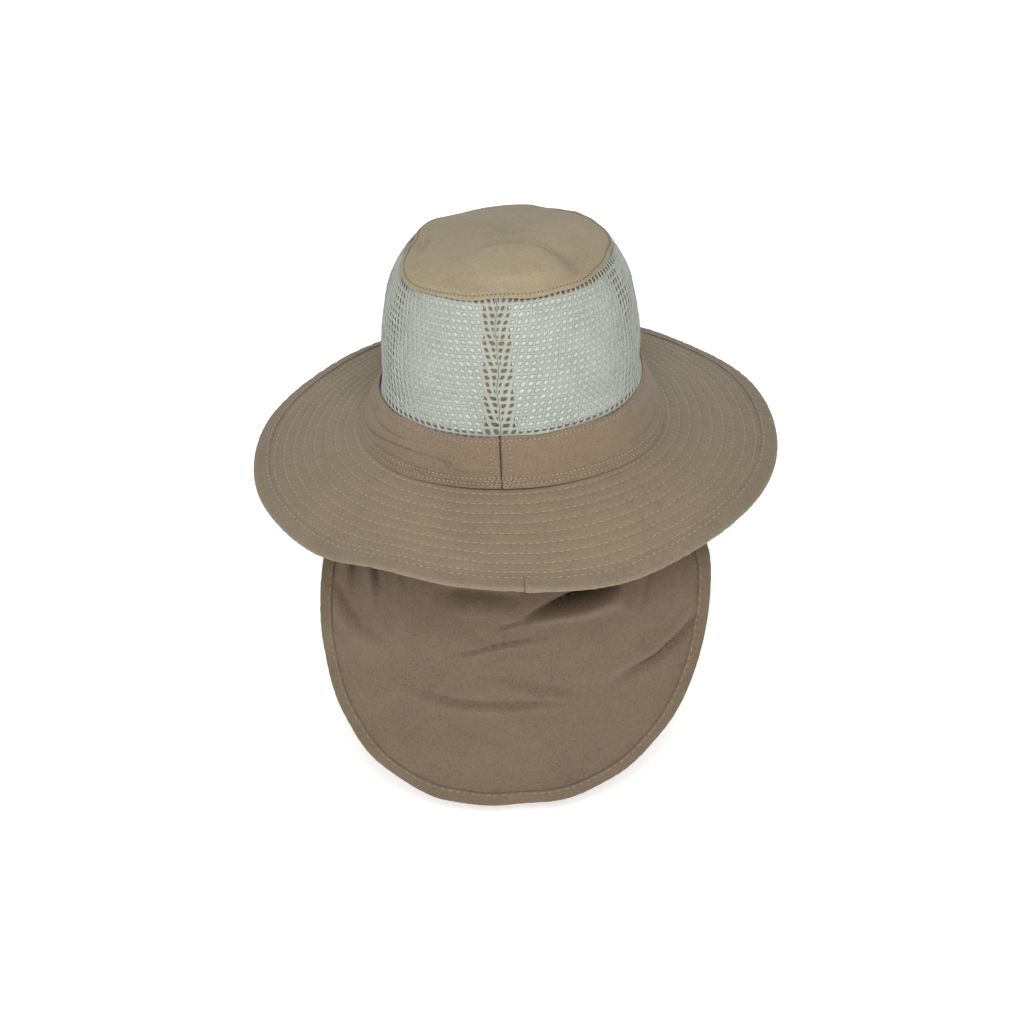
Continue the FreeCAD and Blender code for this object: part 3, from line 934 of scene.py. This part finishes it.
# Brim
BRIM_START = float(wall_basis(np.array(0.0), np.array(0.0)) @ BAND - 2.7 * MM - round_value(OPENING, 0))
BRIM_START /= float(round_value(EDGE, 0) - round_value(OPENING, 0))
shares = np.linspace(BRIM_START, 0.992, 102)
grid = grid_of(brim, around(485), shares)
angle, share = np.meshgrid(around(485), shares)
# The cloth is a little lighter along the stitch rows.
rows_lighter = sum(bell(share, row, 0.012) for row in BRIM_ROWS) * 0.15
upper, flat = cloth("brim_upper", grid, 0.8 * MM, closed=True, flip=True, painted_light_and_tone=rows_lighter)
finish_piece(upper, tan_brim, "brim_top")
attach(upper, "hat")
grid = grid_of(brim_under, around(485), np.linspace(0.0, 0.992, 102))
grid = grid[::-1]
lower, flat = cloth("brim_lower", grid, 0.8 * MM, closed=True, flip=True)
finish_piece(lower, tan_brim, "brim_underside")
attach(lower, "hat")
middle_ply = lambda angle, share: brim(angle, share) - np.array([0, 0, 1.15 * MM])
grid = grid_of(middle_ply, around(240), np.linspace(0.05, 0.86, 60))
made, flat = cloth("brim_stiffener", grid, 0.5 * MM, closed=True, flip=True)
finish_piece(made, stiff_white, "brim_interlining")
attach(made, "hat")
full = np.linspace(-math.pi, math.pi, 1400)
brim_stitches = stitches(
    "brim_stitches", [seam(brim, full, row, flip=True) for row in BRIM_ROWS], radius=0.24 * MM
)
brim_stitches.data.materials.append(pale_thread)
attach(brim_stitches, "hat")
under_stitches = stitches(
    "brim_under_stitches", [seam(brim_under, full, row) for row in BRIM_ROWS], radius=0.22 * MM
)
under_stitches.data.materials.append(pale_thread)
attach(under_stitches, "hat")

binding_ripple = lumps(2.2 * MM, 71, (1, 1, 1), 30)


def folded(reach, lift, nose):
    """A folded strip's section, from its upper edge round to its lower one. Each row is the distance
    in from the edge, the share of the upper face against the lower, and the lift off that face.
    """
    turn = np.linspace(math.pi / 2, -math.pi / 2, 11)
    upper = [(reach, 1, 0.5 * lift), (0.9 * reach, 1, lift), (0.6 * reach, 1, lift), (0.35 * reach, 1, lift)]
    bend = [(nose * (1 - math.cos(t)), (1 + math.sin(t)) / 2, lift * math.sin(t)) for t in turn]
    lower = [(distance, 0, -height) for distance, side, height in reversed(upper)]
    return np.array(upper + bend + lower)


LAP_ANGLE = 0.104


def brim_fold(angle, section):
    """The outer face of the brim's binding, along one row of its section for each row of angle."""
    distance, side, lift = (section[:, k][:, None] for k in range(3))
    share = 1.006 - distance / (round_value(EDGE, angle) - round_value(OPENING, angle))
    points = side[..., None] * brim(angle, share) + (1 - side[..., None]) * brim_under(angle, share)
    past = angle - LAP_ANGLE
    lap = (0.5 + 0.5 * np.tanh(past / 0.0024)) * np.clip(1 - past / 0.12, 0, 1)
    dent = bell(angle, LAP_ANGLE - 0.004, 0.004)
    away = lift + np.sign(lift) * MM * (0.16 * binding_ripple(points) + 0.8 * lap - 0.7 * dent)
    points[..., 2] += away
    return points


section = folded(9 * MM, 0.45 * MM, 1.2 * MM)
near_lap = LAP_ANGLE + np.linspace(-0.012, 0.012, 30)
angle = np.sort(np.concatenate([around(1500), near_lap]))
grid = brim_fold(np.broadcast_to(angle, (len(section), len(angle))), section)
edge_binding, flat = cloth("edge_binding", grid[::-1], 0.4 * MM, closed=True, flip=True)
finish_piece(edge_binding, tan_binding, "brim_binding")
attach(edge_binding, "hat")
binding_row = np.array([(7.8 * MM, 1, 0.6 * MM), (7.8 * MM, 0, -0.6 * MM)])
seam_points = brim_fold(np.broadcast_to(full, (2, len(full))), binding_row)
upward = np.broadcast_to(np.array([0, 0, 1.0]), seam_points[0].shape)
binding_stitches = stitches(
    "binding_stitches", [(seam_points[0], upward), (seam_points[1], -upward)], sunk=0
)
binding_stitches.data.materials.append(pale_thread)
across = brim_fold(np.full((len(section), 1), LAP_ANGLE - 0.003), section)[:, 0]
away = np.gradient(across, axis=0)
away = np.cross(away, place(LAP_ANGLE + math.pi / 2, 1.0, 0.0))
away /= np.linalg.norm(away, axis=1)[:, None]
lap_seam = stitches(
    "lap_seam", [(across + 0.3 * MM * away, away)], length=2.4 * MM, gap=0.1 * MM, radius=0.4 * MM
)
lap_seam.data.materials.append(dark_thread)
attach(lap_seam, "hat")
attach(binding_stitches, "hat")

# Tip
shares = np.concatenate([np.linspace(0.0, 0.9, 70), np.linspace(0.91, 1 + TIP_HEM, 30)])
angle, share = np.meshgrid(around(495), shares)
grid = tip(angle, share)
thickness = (0.9 + 0.6 * (share > 1)) * MM
tip_x, tip_y = grid[..., 0] / MM, grid[..., 1] / MM
# Painted light: the raised place is lighter, and the hollow in front of it and the far part are painted darker as
# shade.
tip_painted_light = 0.3 * tip_bump(tip_x, tip_y) - 0.5 * tip_hollow(tip_x, tip_y)
tip_painted_light = tip_painted_light - 0.12 * bell(tip_y, 60, 40)
tip_piece, flat = cloth("tip", grid, thickness, closed=True, flip=True, painted_light_and_tone=tip_painted_light)
finish_piece(tip_piece, tan_tip, "crown_tip")
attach(tip_piece, "hat")
tip_line = tip_share(full, TIP_ROW)
# Painted shade: dark thread dots along the tip's stitch row stand for its shaded needle holes.
tip_holes = stitches(
    "tip_holes", [seam(tip, full, tip_line, flip=True)], length=1.1 * MM, gap=1.4 * MM,
    radius=0.45 * MM, sunk=0.15 * MM,
)
tip_holes.data.materials.append(dark_thread)
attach(tip_holes, "hat")

# Neck flap
outline_share = np.linspace(0, 0.4985, 200)
half_width, depth = flap_outline(outline_share, 0.8 * MM)
half_width, depth = np.abs(half_width), depth
top_rows = np.linspace(-2.6 * MM, 0, 6, endpoint=False)
half_width = np.concatenate([np.full(6, half_width[0]), half_width])
depth = np.concatenate([top_rows, depth])
across = np.linspace(-1, 1, 241)
x, down = half_width[:, None] * across, np.repeat(depth[:, None], len(across), 1)
grid = flap(x, down)
relief = sum(valley(x / MM, (FLAP_TOP - down) / MM, *one) for one in FLAP_VALLEYS)
# Painted shade in the fold valleys and painted highlight on the lips pushed up below them.
creased = 0.2 * np.clip(-relief / 1.2, 0, 1) - 0.85 * np.clip(relief / 8, 0, 1) ** 1.3
flap_piece, flat = cloth(
    "flap", grid, 1.0 * MM, flip=True, painted_light_and_tone=creased
)
flap_piece.data.materials.append(tan_flap)
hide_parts("neck_flap")

edge_section = folded(7 * MM, 0.5 * MM, 0.9 * MM)
flap_edge_ripple = lumps(2.4 * MM, 72, (1, 1, 1), 30)
share, row = np.meshgrid(np.linspace(0, 1, 1000), np.arange(len(edge_section)))
x, down = flap_outline(share, edge_section[row, 0])
points = flap(x, down)
normals = normal_of(lambda a, b: flap(a, -b), x, -down, 1e-3)
ripple = 0.15 * MM * flap_edge_ripple(points) * np.sign(edge_section[row, 2])
lift = edge_section[row, 2] - (1 - edge_section[row, 1]) * 1.0 * MM + ripple
grid = points + normals * lift[..., None]
flap_edge, flat_edge = cloth("flap_edge", grid, 0.4 * MM)
flap_edge.data.materials.append(flap_edging)
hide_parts("flap_binding")
line_share = np.linspace(0.002, 0.998, 1200)
line_x, line_down = flap_outline(line_share, 6.0 * MM)
line_normals = normal_of(lambda a, b: flap(a, -b), line_x, -line_down, 1e-3)
line_points = flap(line_x, line_down) + line_normals * 0.8 * MM
flap_stitches = stitches("flap_stitches", [(line_points, line_normals)], radius=0.24 * MM)
flap_stitches.data.materials.append(tan_thread)
for piece in (flap_piece, flap_edge, flap_stitches):
    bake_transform(piece)

HEADING_HALF = math.atan2(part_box("flap_heading")[1].x, -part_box("flap_heading")[1].y)
heading_under = lambda angle, share: brim(angle, share) - np.array([0, 0, BRIM_THICKNESS + 0.3 * MM])
grid = grid_of(heading_under, np.linspace(-HEADING_HALF, HEADING_HALF, 160), np.linspace(0.145, -0.005, 12))
heading, flat = cloth("heading", grid, 1.0 * MM, flip=True)
finish_piece(heading, tan_flap, "flap_heading")
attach(heading, "hat")


# ---------------------------------------------------------------- floor, lights and camera

floor_z = cad_low.z - 9 * MM
floor_mesh = bpy.data.meshes.new("floor")
floor_mesh.from_pydata([(-8, -8, floor_z), (8, -8, floor_z), (8, 8, floor_z), (-8, 8, floor_z)], [], [(0, 1, 2, 3)])
floor = bpy.data.objects.new("floor", floor_mesh)
bpy.context.scene.collection.objects.link(floor)
paint = Nodes("floor_paint")
paint.shader.inputs["Base Color"].default_value = linear(246, 246, 245)
paint.shader.inputs["Roughness"].default_value = 0.9
paint.shader.inputs["Emission Color"].default_value = (1, 1, 1, 1)
paint.shader.inputs["Emission Strength"].default_value = 0.62
floor_mesh.materials.append(paint.material)
floor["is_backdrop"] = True

world = bpy.data.worlds.new("studio")
world.use_nodes = True
world.node_tree.nodes["Background"].inputs["Color"].default_value = (1, 1, 1, 1)
# The lens sees the backdrop as bright as the far floor, and the hat is lit by a dimmer one.
LIGHT_FROM_AROUND = 0.34
seen = world.node_tree.nodes.new("ShaderNodeLightPath")
scaled = world.node_tree.nodes.new("ShaderNodeMath")
scaled.operation = "MULTIPLY_ADD"
scaled.inputs[1].default_value = 0.66
scaled.inputs[2].default_value = LIGHT_FROM_AROUND
world.node_tree.links.new(seen.outputs["Is Camera Ray"], scaled.inputs[0])
background = world.node_tree.nodes["Background"]
world.node_tree.links.new(scaled.outputs[0], background.inputs["Strength"])
bpy.context.scene.world = world


def lamp(name, position, size, power):
    """A soft square light that faces the hat."""
    data = bpy.data.lights.new(name, "AREA")
    data.size, data.energy = size, power
    made = bpy.data.objects.new(name, data)
    made.location = position
    made.rotation_euler = (Vector((0, 0, 0)) - made.location).to_track_quat("-Z", "Y").to_euler()
    bpy.context.scene.collection.objects.link(made)


lamp("key", Vector((0.3, -1.9, 1.7)), 1.0, 48)
lamp("fill", Vector((-1.8, -0.9, 1.1)), 1.6, 5)
lamp("top", Vector((-0.4, 0.8, 2.2)), 1.2, 8)

AZIMUTH, ELEVATION, ROLL = (math.radians(a) for a in (5.4, 30.0, 3.2))
DISTANCE = 5.0
FRAME_WIDTH = 0.605
back = Vector(
    (
        math.sin(AZIMUTH) * math.cos(ELEVATION),
        -math.cos(AZIMUTH) * math.cos(ELEVATION),
        math.sin(ELEVATION),
    )
)
facing = (-back).to_track_quat("-Z", "Y").to_matrix() @ Matrix.Rotation(-ROLL, 3, "Z")
camera = bpy.data.cameras.new("camera")
camera.lens = camera.sensor_width * DISTANCE / FRAME_WIDTH
camera_object = bpy.data.objects.new("camera", camera)
brim_middle = Vector((0, 0, BRIM_TOP - BRIM_DROP))
aim = brim_middle - facing.col[0] * 2.0 * MM - facing.col[1] * 35.8 * MM
camera_object.matrix_world = Matrix.Translation(aim + back * DISTANCE) @ facing.to_4x4()
bpy.context.scene.collection.objects.link(camera_object)
bpy.context.scene.camera = camera_object
bpy.context.scene.view_settings.view_transform = "Standard"

low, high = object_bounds()
